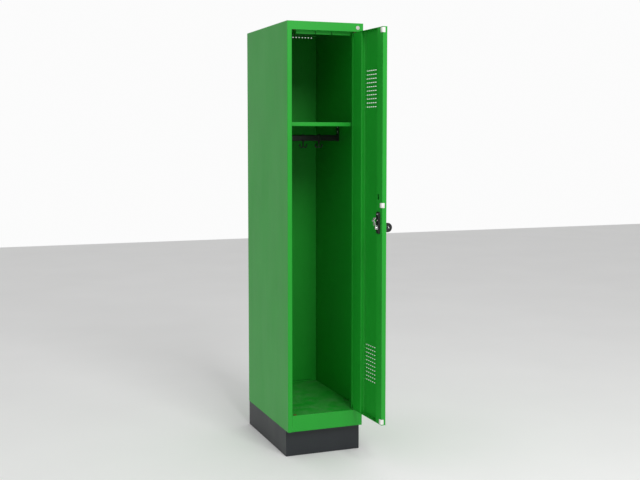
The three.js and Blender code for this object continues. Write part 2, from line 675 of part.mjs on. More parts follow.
// The hinge edge's channel stiffens the door and tucks in behind its hem.
function hingeChannel() {
  const skin = DOOR_FACE + SHEET + GAP;
  const face = DOOR_INSIDE - SHEET - GAP;
  const free = DOOR_HINGE_EDGE - HINGE_CHANNEL_WIDTH;
  const path = [
    [free - CHANNEL_FOOT, skin + SHEET],
    [free, skin + SHEET],
    [free, face],
    [DOOR_HINGE_EDGE - DOOR_BEND_RADIUS - WALL_GAP, face],
  ];
  const z = [DOOR_BOTTOM + SHEET + GAP, DOOR_TOP - SHEET - GAP];
  const channel = push(fold(path, { side: -1 }), "z", ...z);
  const room = PIN_COLLAR_RADIUS + 1;
  const depth = PIN_COLLAR_HEIGHT + PIN_TAIL + 2;
  const cuts = [
    box([-room, room], [-room, DOOR_INSIDE], [z[0] - 1, z[0] + depth]),
    box([-room, room], [-room, DOOR_INSIDE], [z[1] - depth, z[1] + 1]),
  ];
  mesh(door, "hinge_channel", build([channel], cuts), PAINT);
}

// Pivot pins: a collar under the edge flange, with the pin reaching out into the frame's bush.
function pivotPin(name, edge, sign) {
  const collarFace = edge - sign * (SHEET + GAP);
  const sorted = (a, b) => [Math.min(a, b), Math.max(a, b)];
  const collar = rod(
    "z",
    PIN_COLLAR_RADIUS,
    ...sorted(collarFace, collarFace - sign * PIN_COLLAR_HEIGHT),
    [0, 0],
  );
  const pin = rod(
    "z",
    PIN_RADIUS,
    ...sorted(collarFace - sign * (PIN_COLLAR_HEIGHT + PIN_TAIL), edge + sign * PIN_REACH),
    [0, 0],
  );
  mesh(door, name, build([collar, pin]), ZINC);
}

// A buffer's pad lies at the door's free edge, with a thin tongue over the edge flange.
function buffer(name, z) {
  const x = DOOR_FREE_EDGE + BUFFER_FROM_EDGE;
  const height = [z - BUFFER_HEIGHT / 2, z + BUFFER_HEIGHT / 2];
  const outer = DOOR_FREE_EDGE - GAP - BUFFER_TONGUE_THICKNESS;
  const face = DOOR_INSIDE + GAP;
  const shape = roundedRectangle(outer, x + BUFFER_WIDTH / 2, ...height, 2);
  const head = push(shape, "y", face, face + BUFFER_PROUD);
  const tongue = box([outer, DOOR_FREE_EDGE - GAP], [face - BUFFER_TONGUE, face + SHEET], height);
  const stem = rod("y", BUFFER_STEM_RADIUS, face - 6, face + 1, [x, z], 16);
  mesh(door, name, build([head, tongue, stem]), WHITE_PLASTIC);
}

// Lock: a fixed case inside and rosette outside; the knob, spindle, cam and nut turn together.
function lockCase() {
  const half = CASE_WIDTH / 2;
  const shape = roundedRectangle(
    LOCK_X - half,
    LOCK_X + half,
    LOCK_Z - CASE_BELOW,
    LOCK_Z + CASE_ABOVE,
    CASE_CORNER,
  );
  const face = DOOR_INSIDE + GAP;
  const body = push(shape, "y", face, face + CASE_DEPTH);
  const bore = rod("y", SPINDLE_HOLE_RADIUS, face - 1, face + CASE_DEPTH + 1, [LOCK_X, LOCK_Z]);
  mesh(door, "lock_case", build([body], [bore]), BLACK_PLASTIC);
}

function lockRosette() {
  const centre = [LOCK_X, LOCK_Z];
  const skin = DOOR_FACE - GAP;
  const disc = rod("y", ROSETTE_RADIUS, skin - ROSETTE_HEIGHT, skin, centre, 32);
  const neck = rod("y", ROSETTE_NECK_RADIUS, skin - 1, DOOR_INSIDE - SHEET - GAP, centre);
  const bore = rod("y", SPINDLE_HOLE_RADIUS, skin - ROSETTE_HEIGHT - 1, DOOR_INSIDE + 1, centre);
  mesh(door, "lock_rosette", build([disc, neck], [bore]), BLACK_PLASTIC);
}

// The knob's grip is an upright round tab with a slanting eye for a padlock.
function lockKnob() {
  const baseFace = DOOR_FACE - 2 * GAP - ROSETTE_HEIGHT;
  const gripFace = baseFace - KNOB_BASE_HEIGHT;
  const base = rod("y", KNOB_BASE_RADIUS, gripFace, baseFace, [LOCK_X, LOCK_Z], 32);
  const tip = gripFace - KNOB_GRIP_REACH;
  const tab = new THREE.Shape();
  tab.moveTo(baseFace - 1, LOCK_Z - KNOB_GRIP_RADIUS);
  tab.lineTo(baseFace - 1, LOCK_Z + KNOB_GRIP_RADIUS);
  tab.absarc(tip + KNOB_GRIP_RADIUS, LOCK_Z, KNOB_GRIP_RADIUS, Math.PI / 2, Math.PI * 1.5);
  const half = KNOB_GRIP_THICKNESS / 2;
  const grip = push(tab, "x", LOCK_X - half, LOCK_X + half, 20);
  const eyeHalf = KNOB_EYE_WIDTH / 2;
  const eyeEnd = KNOB_EYE_LENGTH / 2;
  const slot = roundedRectangle(-eyeHalf, eyeHalf, -eyeEnd, eyeEnd, eyeHalf - 0.01);
  const eye = push(slot, "x", -KNOB_GRIP_THICKNESS, KNOB_GRIP_THICKNESS);
  eye.rotateX(THREE.MathUtils.degToRad(-KNOB_EYE_LEAN_DEG));
  eye.translate(LOCK_X, tip + KNOB_EYE_FROM_TIP, LOCK_Z);
  mesh(door, "lock_knob", build([base, grip], [eye]), BLACK_PLASTIC);
}

function lockSpindle() {
  const from = DOOR_FACE - GAP - ROSETTE_HEIGHT + 0.2;
  const to = CAM_BASE_Y + CAM_THICKNESS + 2 * GAP + CAM_NUT_HEIGHT + SPINDLE_END;
  mesh(door, "lock_spindle", rod("y", SPINDLE_RADIUS, from, to, [LOCK_X, LOCK_Z]), ZINC);
}

// The cam is a bent strip that points up when the door is unlocked.
function lockCam() {
  const y = CAM_BASE_Y;
  const step = y + CAM_STEP;
  const path = [
    [y, LOCK_Z],
    [y, LOCK_Z + CAM_SHOULDER],
    [step, LOCK_Z + CAM_SHOULDER],
    [step, LOCK_Z + CAM_BEND],
    [step + (CAM_NOSE - CAM_BEND), LOCK_Z + CAM_NOSE],
    [step + (CAM_NOSE - CAM_BEND) - (CAM_TIP - CAM_NOSE), LOCK_Z + CAM_TIP],
  ];
  const half = CAM_WIDTH / 2;
  const section = fold(path, { side: -1, thickness: CAM_THICKNESS, radius: 3 });
  const strip = push(section, "x", LOCK_X - half, LOCK_X + half);
  const disc = rod("y", CAM_BASE_RADIUS, y, y + CAM_THICKNESS, [LOCK_X, LOCK_Z]);
  const bore = rod("y", BORE_RADIUS, y - 1, y + CAM_THICKNESS + 1, [LOCK_X, LOCK_Z]);
  mesh(door, "lock_cam", build([strip, disc], [bore]), ZINC);
}

function camNut() {
  const from = CAM_BASE_Y + CAM_THICKNESS + GAP;
  const centre = [LOCK_X, LOCK_Z];
  const body = rod("y", NUT_RADIUS, from, from + CAM_NUT_HEIGHT, centre, 6);
  const bore = rod("y", BORE_RADIUS, from - 1, from + CAM_NUT_HEIGHT + 1, centre);
  mesh(door, "cam_nut", build([body], [bore]), ZINC);
}

sidePanel("side_panel_left", -1);
sidePanel("side_panel_right", 1);
roofPanel();
floorPanel();
backPanel();
hatShelf();
coatRail();
railBracket("rail_bracket_left", -1);
railBracket("rail_bracket_right", 1);
coatHook("coat_hook_left", -HOOK_SPACING);
coatHook("coat_hook_middle", 0);
coatHook("coat_hook_right", HOOK_SPACING);
plinthEnd("plinth_front", PLINTH_SETBACK, 1);
plinthEnd("plinth_rear", PLINTH_REAR, -1);
plinthSide("plinth_left", -1);
plinthSide("plinth_right", 1);
let boltIndex = 0;
for (const x of [-BOLT_X, BOLT_X]) {
  for (const y of BOLT_Y) {
    boltIndex += 1;
    plinthBolt(boltIndex, x, y);
  }
}
pivotBush("pivot_bush_top", DOOR_TOP, RAIL_UNDERSIDE, 1);
pivotBush("pivot_bush_bottom", DOOR_BOTTOM, FLOOR_TOP, -1);
frameCap();
doorPanel();
lockChannel();
hingeChannel();
pivotPin("pivot_pin_top", DOOR_TOP, 1);
pivotPin("pivot_pin_bottom", DOOR_BOTTOM, -1);
["buffer_bottom", "buffer_middle", "buffer_top"].forEach((name, i) => buffer(name, BUFFER_Z[i]));
lockCase();
lockRosette();
lockKnob();
lockSpindle();
lockCam();
camNut();

export default locker;
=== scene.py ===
"""Looks of a single-door steel school locker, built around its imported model. Metres, +Z up."""
import json
import math

import bmesh
import bpy
from mathutils import Matrix, Vector


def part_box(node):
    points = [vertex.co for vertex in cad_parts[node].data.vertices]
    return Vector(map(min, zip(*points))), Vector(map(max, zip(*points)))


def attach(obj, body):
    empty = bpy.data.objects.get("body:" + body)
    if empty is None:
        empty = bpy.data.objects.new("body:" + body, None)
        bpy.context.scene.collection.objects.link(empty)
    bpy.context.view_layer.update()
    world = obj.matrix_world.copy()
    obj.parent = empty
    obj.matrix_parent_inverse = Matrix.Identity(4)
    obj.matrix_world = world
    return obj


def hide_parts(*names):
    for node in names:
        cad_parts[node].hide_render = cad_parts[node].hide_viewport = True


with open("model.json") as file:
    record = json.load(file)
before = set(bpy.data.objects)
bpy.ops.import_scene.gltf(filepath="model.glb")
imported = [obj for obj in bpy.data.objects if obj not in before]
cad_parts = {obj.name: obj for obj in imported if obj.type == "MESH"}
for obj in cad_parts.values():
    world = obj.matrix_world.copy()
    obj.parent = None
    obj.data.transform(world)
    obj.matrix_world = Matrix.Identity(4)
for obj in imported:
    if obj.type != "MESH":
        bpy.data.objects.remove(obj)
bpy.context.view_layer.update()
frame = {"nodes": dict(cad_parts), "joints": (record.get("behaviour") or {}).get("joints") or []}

MM = 0.001

# Camera
CAMERA_PLACE = (-1.3585, -3.5176, 1.1975)
CAMERA_YAW_DEG = 21.03
CAMERA_PITCH_DEG = 4.33
CAMERA_LENS = 56.4
CAMERA_SHIFT_Y = -0.04

# Colours, linear
GREEN = (0.008, 0.335, 0.020)
ANTHRACITE = (0.018, 0.021, 0.025)
BLACK = (0.012, 0.012, 0.013)
WHITE = (0.78, 0.78, 0.75)
CAP_GREY = (0.48, 0.46, 0.44)
BROWN = (0.150, 0.045, 0.022)
ZINC_BLUE = (0.62, 0.66, 0.72)
ZINC_YELLOW = (0.76, 0.73, 0.64)
# Painted highlight for the zinc's edges
ZINC_EDGE_HIGHLIGHT = (0.86, 0.87, 0.88)
TARNISH = (0.30, 0.30, 0.31)
BARE_STEEL = (0.34, 0.35, 0.36)
DUST = (0.46, 0.47, 0.43)
FLOOR_COLOUR = (0.90, 0.90, 0.895)

# The lighter colours of edges, partly rubbed wear and partly a painted highlight, linear
GREEN_WEAR_AND_HIGHLIGHT = (0.10, 0.46, 0.13)
ANTHRACITE_WEAR_AND_HIGHLIGHT = (0.10, 0.11, 0.12)
BLACK_WEAR_AND_HIGHLIGHT = (0.07, 0.07, 0.072)
WHITE_WEAR_AND_HIGHLIGHT = (0.88, 0.88, 0.86)
CAP_GREY_WEAR_AND_HIGHLIGHT = (0.74, 0.74, 0.72)
BROWN_WEAR_AND_HIGHLIGHT = (0.30, 0.12, 0.07)

# Studio
AMBIENT = 0.62
BACKDROP = 0.97
FLOOR_HALF = 8.0
KEY_PLACE = (0.15, -3.4, 3.5)
KEY_TARGET = (0, 0, 1.2)
KEY_SIZE = (1.6, 1.6)
KEY_POWER = 105

# Sheet metal and the frame's fittings
SHEET_EDGE = 0.3 * MM
POST_WIDTH = 18 * MM
TOP_RAIL_HEIGHT = 31 * MM
TOP_BUSH_FLANGE = 3.2 * MM
BOTTOM_BUSH_FLANGE = 1.7 * MM
BUFFER_STEM_FROM_EDGE = 6.5 * MM

# Frames of reference: the closed door about its pivot axis, and local axes for flat pieces
JOINTS = {joint["name"]: joint for joint in frame["joints"]}
HINGE = JOINTS["door_hinge"]
PIVOT = Vector((HINGE["pos_m"][0], HINGE["pos_m"][1], 0))
DOOR = Matrix.Translation(PIVOT) @ Matrix.Rotation(math.radians(-HINGE["range_deg"][0]), 4, "Z")
WORLD = Matrix.Identity(4)


def axes(first, second):
    """Local axes: X and Y along the given directions, and Z square to both."""
    x, y = Vector(first), Vector(second)
    return Matrix((x, y, x.cross(y))).transposed().to_4x4()


OUTWARD = axes((1, 0, 0), (0, 0, 1))
INWARD = axes((-1, 0, 0), (0, 0, 1))
ALONG_X = axes((0, 1, 0), (0, 0, 1))
FIN_SIDE = axes((0, -1, 0), (0, 0, 1))
UPWARD = axes((1, 0, 0), (0, 1, 0))
DOWNWARD = axes((1, 0, 0), (0, -1, 0))


def inside_box(node, facing):
    """A CAD node's lowest and highest corners along the given local axes."""
    turned_back = facing.inverted()
    points = [turned_back @ vertex.co for vertex in frame["nodes"][node].data.vertices]
    low = Vector([min(point[i] for point in points) for i in range(3)])
    high = Vector([max(point[i] for point in points) for i in range(3)])
    return low, high


def shade_of(colour, factor):
    """The colour made lighter or darker, with its alpha."""
    return tuple(min(channel * factor, 1.0) for channel in colour[:3]) + (1.0,)


# ---------------------------------------------------------------- materials


class Tree:
    """A material's node tree, with short calls for the nodes that the finishes share."""

    def __init__(self, name):
        self.material = bpy.data.materials.new(name)
        self.material.use_nodes = True
        self.nodes = self.material.node_tree.nodes
        self.links = self.material.node_tree.links
        self.shader = self.nodes["Principled BSDF"]
        self.place = self.nodes.new("ShaderNodeTexCoord").outputs["Object"]

    def put(self, socket, value):
        if isinstance(value, bpy.types.NodeSocket):
            self.links.new(value, socket)
        else:
            socket.default_value = value

    def node(self, kind, inputs, **settings):
        made = self.nodes.new("ShaderNode" + kind)
        for key, value in settings.items():
            setattr(made, key, value)
        for key, value in inputs.items():
            self.put(made.inputs[key], value)
        return made

    def noise(self, scale, detail=2.0, roughness=0.5, stretch=(1, 1, 1)):
        mapped = self.node("Mapping", {"Vector": self.place, "Scale": stretch})
        inputs = {"Vector": mapped.outputs["Vector"], "Scale": scale, "Detail": detail}
        return self.node("TexNoise", {**inputs, "Roughness": roughness}).outputs["Fac"]

    def span(self, value, low, high, start=0.0, end=1.0):
        inputs = {"Value": value, "From Min": low, "From Max": high, "To Min": start, "To Max": end}
        return self.node("MapRange", inputs).outputs["Result"]

    def math(self, operation, first, second):
        return self.node("Math", {0: first, 1: second}, operation=operation).outputs["Value"]

    def mix(self, share, first, second):
        made = self.node("Mix", {0: share, 6: first, 7: second}, data_type="RGBA")
        return made.outputs[2]

    def edges(self, radius, threshold=0.3):
        """1 along sharp edges and 0 on flat faces."""
        bevel = self.node("Bevel", {"Radius": radius}, samples=4).outputs["Normal"]
        face = self.nodes.new("ShaderNodeNewGeometry").outputs["Normal"]
        turned = self.node("VectorMath", {0: bevel, 1: face}, operation="DOT_PRODUCT")
        return self.span(turned.outputs["Value"], 0.99, 1 - threshold)

    def upward(self):
        """1 on faces that look up."""
        face = self.nodes.new("ShaderNodeNewGeometry").outputs["Normal"]
        height = self.node("SeparateXYZ", {0: face}).outputs["Z"]
        return self.span(height, 0.85, 0.98)

    def bump(self, layers):
        """Bumps laid one on the other, as (height, distance, strength)."""
        normal = None
        for height, distance, strength in layers:
            inputs = {"Height": height, "Distance": distance, "Strength": strength}
            made = self.node("Bump", inputs)
            if normal is not None:
                self.put(made.inputs["Normal"], normal)
            normal = made.outputs["Normal"]
        self.put(self.shader.inputs["Normal"], normal)

    def finish(self, **inputs):
        for key, value in inputs.items():
            self.put(self.shader.inputs[key.replace("_", " ")], value)
        return self.material


def powder_coat(name, colour, roughness, light, dust=0.16):
    """Sprayed and baked paint: a fine orange peel, lighter edges that are partly rubbed wear and partly a
    painted highlight, and a few chips down to steel.
    """
    tree = Tree(name)
    cloud = tree.span(tree.noise(6.0, 3.0), 0.32, 0.68)
    tint = tree.mix(cloud, shade_of(colour, 0.965), shade_of(colour, 1.035))
    speck = tree.span(tree.noise(540.0, 2.0), 0.50, 0.78, 0.0, 0.14)
    tint = tree.mix(speck, tint, shade_of(light, 0.85))
    edge = tree.edges(1.3 * MM)
    # Lighter, smoother edges in patches: partly rubbed wear, partly a painted highlight.
    rubbed_and_highlit = tree.math("MULTIPLY", edge, tree.span(tree.noise(38.0, 4.0, 0.6), 0.36, 0.62, 0.1, 0.7))
    tint = tree.mix(rubbed_and_highlit, tint, shade_of(light, 1.0))
    chip = tree.math("MULTIPLY", edge, tree.span(tree.noise(210.0, 3.0, 0.6), 0.68, 0.72))
    tint = tree.mix(chip, tint, shade_of(BARE_STEEL, 1.0))
    settled = tree.span(tree.noise(22.0, 5.0, 0.65), 0.40, 0.75, 0.0, dust)
    dusty = tree.math("MULTIPLY", tree.upward(), settled)
    tint = tree.mix(dusty, tint, shade_of(DUST, 1.0))
    streaks = tree.noise(9.0, 4.0, 0.6, (1, 1, 0.25))
    smear = tree.span(streaks, 0.30, 0.72, roughness - 0.03, roughness + 0.04)
    worn = tree.math("SUBTRACT", smear, tree.math("MULTIPLY", rubbed_and_highlit, 0.12))
    rough = tree.math("ADD", worn, tree.math("MULTIPLY", dusty, 0.8))
    peel = tree.noise(680.0, 1.0)
    ripple = tree.noise(5.0, 1.0)
    tree.bump([(ripple, 0.3 * MM, 0.12), (peel, 0.05 * MM, 0.45), (chip, -0.08 * MM, 0.6)])
    return tree.finish(Base_Color=tint, Roughness=rough, IOR=1.42)


def moulded_plastic(name, colour, light, roughness, grain=900.0):
    """Injection-moulded plastic with a fine spark-eroded grain, shinier where it is handled."""
    tree = Tree(name)
    cloud = tree.span(tree.noise(60.0, 3.0), 0.3, 0.7)
    tint = tree.mix(cloud, shade_of(colour, 0.86), shade_of(colour, 1.16))
    edge = tree.edges(0.8 * MM)
    # Lighter edges in patches: partly rubbed wear, partly a painted highlight.
    rubbed_and_highlit = tree.math("MULTIPLY", edge, tree.span(tree.noise(240.0, 3.0, 0.6), 0.35, 0.65, 0.15, 0.8))
    tint = tree.mix(rubbed_and_highlit, tint, shade_of(light, 1.0))
    handled = tree.span(tree.noise(85.0, 4.0, 0.6), 0.3, 0.7, roughness - 0.08, roughness + 0.1)
    rough = tree.math("SUBTRACT", handled, tree.math("MULTIPLY", rubbed_and_highlit, 0.1))
    scratch = tree.noise(160.0, 3.0, 0.6, (1, 1, 9))
    tree.bump([(tree.noise(grain, 2.0), 0.06 * MM, 0.5), (scratch, 0.03 * MM, 0.3)])
    return tree.finish(Base_Color=tint, Roughness=rough, IOR=1.48)


def zinc_plate(name):
    """Bright zinc plating with a faint yellow and blue cast, brushed and lightly scratched."""
    tree = Tree(name)
    cast = tree.span(tree.noise(110.0, 3.0), 0.3, 0.7)
    tint = tree.mix(cast, shade_of(ZINC_BLUE, 1.0), shade_of(ZINC_YELLOW, 1.0))
    tarnish = tree.span(tree.noise(420.0, 4.0, 0.65), 0.58, 0.80, 0.0, 0.6)
    tint = tree.mix(tarnish, tint, shade_of(TARNISH, 1.0))
    edge = tree.edges(0.6 * MM)
    # A painted highlight: all edges are painted brighter.
    tint = tree.mix(tree.math("MULTIPLY", edge, 0.6), tint, shade_of(ZINC_EDGE_HIGHLIGHT, 1.0))
    brushed = tree.noise(300.0, 3.0, 0.6, (1, 1, 14))
    rough = tree.math("ADD", tree.span(brushed, 0.3, 0.7, 0.20, 0.36), tree.math("MULTIPLY", tarnish, 0.2))
    tree.bump([(brushed, 0.03 * MM, 0.5), (tree.noise(900.0, 2.0), 0.02 * MM, 0.3)])
    return tree.finish(Base_Color=tint, Roughness=rough, Metallic=1.0)


def studio_floor(name):
    tree = Tree(name)
    cloud = tree.span(tree.noise(1.6, 3.0), 0.3, 0.7)
    tint = tree.mix(cloud, shade_of(FLOOR_COLOUR, 0.985), shade_of(FLOOR_COLOUR, 1.01))
    rough = tree.span(tree.noise(9.0, 3.0), 0.3, 0.7, 0.60, 0.72)
    return tree.finish(Base_Color=tint, Roughness=rough)


green_paint = powder_coat("green_paint", GREEN, 0.42, GREEN_WEAR_AND_HIGHLIGHT)
anthracite_paint = powder_coat("anthracite_paint", ANTHRACITE, 0.46, ANTHRACITE_WEAR_AND_HIGHLIGHT, dust=0.3)
black_plastic = moulded_plastic("black_plastic", BLACK, BLACK_WEAR_AND_HIGHLIGHT, 0.34)
white_plastic = moulded_plastic("white_plastic", WHITE, WHITE_WEAR_AND_HIGHLIGHT, 0.42)
grey_plastic = moulded_plastic("grey_plastic", CAP_GREY, CAP_GREY_WEAR_AND_HIGHLIGHT, 0.45)
brown_plastic = moulded_plastic("brown_plastic", BROWN, BROWN_WEAR_AND_HIGHLIGHT, 0.42)
zinc = zinc_plate("zinc")
FINISHES = {
    "green_paint": green_paint,
    "anthracite_paint": anthracite_paint,
    "black_plastic": black_plastic,
    "white_plastic": white_plastic,
    "grey_plastic": grey_plastic,
    "brown_plastic": brown_plastic,
    "zinc": zinc,
}


# ---------------------------------------------------------------- shapes


def arc_points(centre, radius, start_deg, end_deg, steps):
    angles = [math.radians(start_deg + (end_deg - start_deg) * i / steps) for i in range(steps + 1)]
    return [Vector((centre[0] + radius * math.cos(a), centre[1] + radius * math.sin(a))) for a in angles]


def circle(radius, steps=96):
    return arc_points((0, 0), radius, 0, 360 * (steps - 1) / steps, steps - 1)


def hexagon(across):
    return circle(across / 2 / math.cos(math.pi / 6), 6)


def rounded_rectangle(x0, x1, y0, y1, radius, steps=8):
    left, right, bottom, top = x0 + radius, x1 - radius, y0 + radius, y1 - radius
    outline = []
    for quarter, centre in enumerate([(right, top), (left, top), (left, bottom), (right, bottom)]):
        outline += arc_points(centre, radius, 90 * quarter, 90 * quarter + 90, steps)
    return outline


def rounded_path(points, radius, steps=5):
    """An open path with an arc-like bend at each inner corner."""
    path = [Vector(points[0])]
    for before, here, after in zip(points, points[1:], points[2:]):
        corner = Vector(here)
        start = corner + (Vector(before) - corner).normalized() * radius
        end = corner + (Vector(after) - corner).normalized() * radius
        for step in range(steps + 1):
            t = step / steps
            path.append(start * (1 - t) ** 2 + corner * 2 * t * (1 - t) + end * t ** 2)
    return path + [Vector(points[-1])]


def grown(outline, amount):
    """The outline moved outwards from the origin."""
    return [point + point.normalized() * amount for point in outline]


def hit(outline, angle):
    """Where a ray from the origin meets an outline that goes round it."""
    ray = Vector((math.cos(angle), math.sin(angle)))
    for first, second in zip(outline, outline[1:] + outline[:1]):
        edge = second - first
        across = ray.x * edge.y - ray.y * edge.x
        if abs(across) < 1e-12:
            continue
        reach = (first.x * edge.y - first.y * edge.x) / across
        share = (first.x * ray.y - first.y * ray.x) / across
        if reach > 0 and -1e-9 <= share <= 1 + 1e-9:
            return ray * reach
    raise ValueError("the outline doesn't go round the origin")


def softened(outline, low, high, edge, steps=3):
    """The levels of a slab between two heights, with rounded edges."""
    quarter = [math.pi / 2 * i / steps for i in range(steps + 1)]
    lower = [(grown(outline, -edge * (1 - math.sin(a))), low + edge * (1 - math.cos(a))) for a in quarter]
    upper = [(shape, high + low - height) for shape, height in reversed(lower)]
    return lower + upper


def add_rings(shape, rings, place, closed):
    made = [[shape.verts.new(place @ Vector(point)) for point in ring] for ring in rings]
    pairs = list(zip(made, made[1:]))
    if closed:
        pairs.append((made[-1], made[0]))
    for low, high in pairs:
        for i in range(len(low)):
            j = (i + 1) % len(low)
            shape.faces.new((low[i], low[j], high[j], high[i]))
    if not closed:
        shape.faces.new(reversed(made[0]))
        shape.faces.new(made[-1])


def add_levels(shape, levels, place, closed=False, count=72):
    """A solid skinned over outlines round the local Z axis. A closed one is pierced along the axis."""
    angles = [2 * math.pi * i / count for i in range(count)]
    rings = []
    for outline, height in levels:
        rings.append([(*hit(outline, angle), height) for angle in angles])
    add_rings(shape, rings, place, closed)


def add_pierced(shape, outline, bore, low, high, edge, place, count=72):
    """A slab with rounded outer edges and a hole through it."""
    rim = 0.15 * MM
    inner = [(grown(bore, rim), high), (bore, high - rim), (bore, low + rim), (grown(bore, rim), low)]
    add_levels(shape, softened(outline, low, high, edge) + inner, place, closed=True, count=count)


def add_sweep(shape, path, radius, place, sides=16, cap_steps=4):
    """A round bar along a path, with round ends."""
    points = [Vector(point) for point in path]
    first = (points[1] - points[0]).normalized()
    last = (points[-1] - points[-2]).normalized()
    stations = []
    for step in range(cap_steps):
        a = math.pi / 2 * (step + 0.35) / (cap_steps + 0.35)
        stations.append((points[0] - first * radius * math.cos(a), first, radius * math.sin(a)))
    for before, here, after in zip([points[0]] + points, points, points[1:] + [points[-1]]):
        stations.append((here, (after - before).normalized(), radius))
    for step in reversed(range(cap_steps)):
        a = math.pi / 2 * (step + 0.35) / (cap_steps + 0.35)
        stations.append((points[-1] + last * radius * math.cos(a), last, radius * math.sin(a)))
    side = first.orthogonal().normalized()
    rings = []
    for centre, heading, size in stations:
        side = (side - heading * side.dot(heading)).normalized()
        up = heading.cross(side)
        angles = [2 * math.pi * i / sides for i in range(sides)]
        rings.append([centre + (side * math.cos(a) + up * math.sin(a)) * size for a in angles])
    add_rings(shape, rings, place, closed=False)


def add_strip(shape, path, thickness, half_width, place, edge):
    """A flat bar bent along a path in the local XY plane, centred on local Z, with cut corners."""
    headings = [(b - a).normalized() for a, b in zip(path, path[1:])]
    turns = [(a + b).normalized() for a, b in zip(headings, headings[1:])]
    headings = [headings[0]] + turns + [headings[-1]]
    flat = half_width - edge
    lower = [(0, -flat), (edge, -half_width), (thickness - edge, -half_width), (thickness, -flat)]
    section = lower + [(depth, -width) for depth, width in reversed(lower)]
    rings = []
    for point, heading in zip(path, headings):
        normal = Vector((-heading.y, heading.x))
        rings.append([(*(point + normal * depth), width) for depth, width in section])
    add_rings(shape, rings, place, closed=False)


def piece(name, shape, body, slot, stands_for=()):
    """Makes a piece of the object out of a finished bmesh."""
    bmesh.ops.recalc_face_normals(shape, faces=shape.faces)
    mesh = bpy.data.meshes.new(name)
    shape.to_mesh(mesh)
    shape.free()
    made = bpy.data.objects.new(name, mesh)
    bpy.context.scene.collection.objects.link(made)
    mesh.materials.append(FINISHES[slot])
    mesh.polygons.foreach_set("use_smooth", [True] * len(mesh.polygons))
    mesh.set_sharp_from_angle(angle=math.radians(40))
    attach(made, body)
    if stands_for:
        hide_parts(*stands_for)
    return made


def mould(made, voxel):
    """Melts a piece's overlapping solids into one skin with soft inner corners."""
    remesh = made.modifiers.new("one_skin", "REMESH")
    remesh.mode = "VOXEL"
    remesh.voxel_size = voxel
    remesh.use_smooth_shade = True
    smooth = made.modifiers.new("soft_corners", "SMOOTH")
    smooth.factor = 0.5
    smooth.iterations = 4


# ---------------------------------------------------------------- sheet metal and plain CAD nodes


def dress(node, slot, edge):
    """Gives a CAD node its finish, welds its facets and rounds its edges."""
    made = frame["nodes"][node]
    mesh = made.data
    mesh.materials.clear()
    mesh.materials.append(FINISHES[slot])
    if "custom_normal" in mesh.attributes:
        mesh.attributes.remove(mesh.attributes["custom_normal"])
    mesh.polygons.foreach_set("use_smooth", [True] * len(mesh.polygons))
    weld = made.modifiers.new("weld", "WELD")
    weld.merge_threshold = 0.01 * MM
    flat = made.modifiers.new("flat_faces", "DECIMATE")
    flat.decimate_type = "DISSOLVE"
    flat.angle_limit = math.radians(0.5)
    bevel = made.modifiers.new("edges", "BEVEL")
    bevel.width = edge
    bevel.segments = 2
    bevel.limit_method = "ANGLE"
    bevel.angle_limit = math.radians(50)
    bevel.use_clamp_overlap = True
    made.modifiers.new("normals", "WEIGHTED_NORMAL").keep_sharp = True


SHEET_NODES = {
    "green_paint": [
        "side_panel_left", "side_panel_right", "roof_panel", "floor_panel", "back_panel",
        "hat_shelf", "door_panel", "lock_channel", "hinge_channel",
    ],
    "anthracite_paint": ["plinth_front", "plinth_rear", "plinth_left", "plinth_right"],
    "black_plastic": ["rail_bracket_left", "rail_bracket_right"],
}
for slot, nodes in SHEET_NODES.items():
    for node in nodes:
        dress(node, slot, SHEET_EDGE)


# ---------------------------------------------------------------- lock

ROSETTE_LOW, ROSETTE_HIGH = inside_box("lock_rosette", DOOR)
LOCK_X = (ROSETTE_LOW.x + ROSETTE_HIGH.x) / 2
LOCK_Z = (ROSETTE_LOW.z + ROSETTE_HIGH.z) / 2
BORE_RADIUS = 6.4 * MM
DOOR_LOW = inside_box("door_panel", DOOR)[0]


def on_lock(y, facing):
    """Local axes on the lock's turning axis, at a depth in the closed door."""
    return DOOR @ Matrix.Translation((LOCK_X, y, LOCK_Z)) @ facing


def add_screw(shape, radius, height, place):
    """A domed screw head with a six-sided socket."""
    socket = hexagon(radius)
    levels = [(circle(radius), 0), (circle(radius), height * 0.45), (circle(radius * 0.9), height * 0.8)]
    levels += [(circle(radius * 0.7), height), (grown(socket, 0.1 * MM), height)]
    levels += [(socket, height - 0.1 * MM), (socket, height * 0.25)]
    add_levels(shape, levels, place, count=48)


def lock_case():
    """A moulded case with a raised cover and a hole for the spindle, and its two screws."""
    low, high = inside_box("lock_case", DOOR)
    half, top, bottom = (high.x - low.x) / 2, high.z - LOCK_Z, low.z - LOCK_Z
    margin = 2.4 * MM
    outline = rounded_rectangle(-half, half, bottom, top, 5 * MM)
    cover = rounded_rectangle(-half + margin, half - margin, bottom + margin, top - margin, 3.5 * MM)
    bore = circle(BORE_RADIUS)
    depth = high.y - low.y
    base = depth - 1.6 * MM
    levels = softened(outline, 0, base, 0.7 * MM)
    raised = softened(cover, base, depth, 0.5 * MM)
    levels += raised[len(raised) // 2:]
    levels += [(grown(bore, 0.3 * MM), depth), (bore, depth - 0.3 * MM), (bore, 0)]
    shape = bmesh.new()
    add_levels(shape, levels, on_lock(low.y, INWARD), closed=True, count=192)
    piece("lock_case_moulding", shape, "door", "black_plastic", ("lock_case",))
    screws = bmesh.new()
    for z in (top - 8 * MM, top - 30 * MM):
        place = on_lock(high.y - 0.1 * MM, INWARD) @ Matrix.Translation((0, z, 0))
        add_screw(screws, 3.2 * MM, 1.3 * MM, place)
    piece("lock_case_screws", screws, "door", "zinc")


